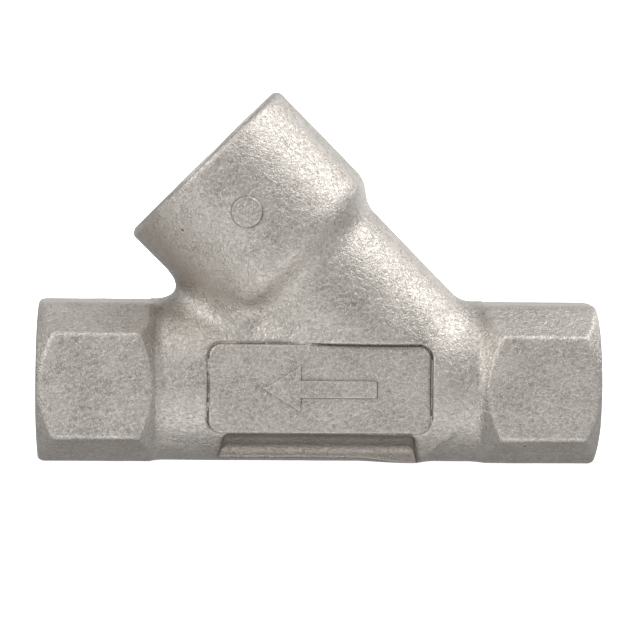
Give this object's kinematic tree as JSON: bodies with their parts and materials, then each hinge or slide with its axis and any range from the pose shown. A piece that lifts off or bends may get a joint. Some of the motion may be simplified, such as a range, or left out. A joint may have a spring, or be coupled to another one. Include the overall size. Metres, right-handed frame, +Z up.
{
  "type": "y strainer",
  "caption": "Threaded y strainer: cast body with hexagon ends, slanted branch, perforated screen and recessed screw plugs.",
  "frame": {"origin": "middle of the flat underside, under the middle of the run", "axes": "+Z up, +X along the run towards the inlet, the branch leans towards -X and +Z"},
  "size_m": [0.085, 0.0317, 0.0564],
  "materials": {
    "cast_stainless": "blasted satin casting",
    "machined_stainless": "turned",
    "perforated_sheet": "rolled sheet",
    "wire_mesh": "woven wire",
    "ptfe": "smooth"
  },
  "bodies": {
    "body": {"strainer_body": "cast_stainless"},
    "screen_cartridge": {"seat_ring": "machined_stainless", "screen_tube": "perforated_sheet", "screen_mesh": "wire_mesh", "screen_collar": "machined_stainless", "plug_gasket": "ptfe"},
    "retaining_plug": {"retaining_plug": "machined_stainless"},
    "drain_washer": {"drain_seal": "ptfe"},
    "drain_plug": {"drain_plug": "machined_stainless"}
  },
  "joints": [
    {"name": "cartridge_lift", "type": "slide", "parent": "body", "child": "screen_cartridge", "axis": [-0.7071, 0, 0.7071], "range_m": [0, 0.01451]},
    {"name": "retaining_plug_turn", "type": "hinge", "parent": "screen_cartridge", "child": "retaining_plug", "pos_m": [-0.0104, 0, 0.0385], "axis": [-0.7071, 0, 0.7071], "range_deg": [-5, 2890]},
    {"name": "drain_lift", "type": "slide", "parent": "retaining_plug", "child": "drain_washer", "axis": [-0.7071, 0, 0.7071], "range_m": [0, 0.00544]},
    {"name": "drain_plug_turn", "type": "hinge", "parent": "drain_washer", "child": "drain_plug", "pos_m": [-0.01535, 0, 0.04345], "axis": [-0.7071, 0, 0.7071], "range_deg": [-5, 2170]}
  ],
  "couplings": [
    {"joint": "retaining_plug_turn", "follows": "cartridge_lift", "rad_per_m": 3463.7},
    {"joint": "drain_plug_turn", "follows": "drain_lift", "rad_per_m": 6927.4}
  ]
}
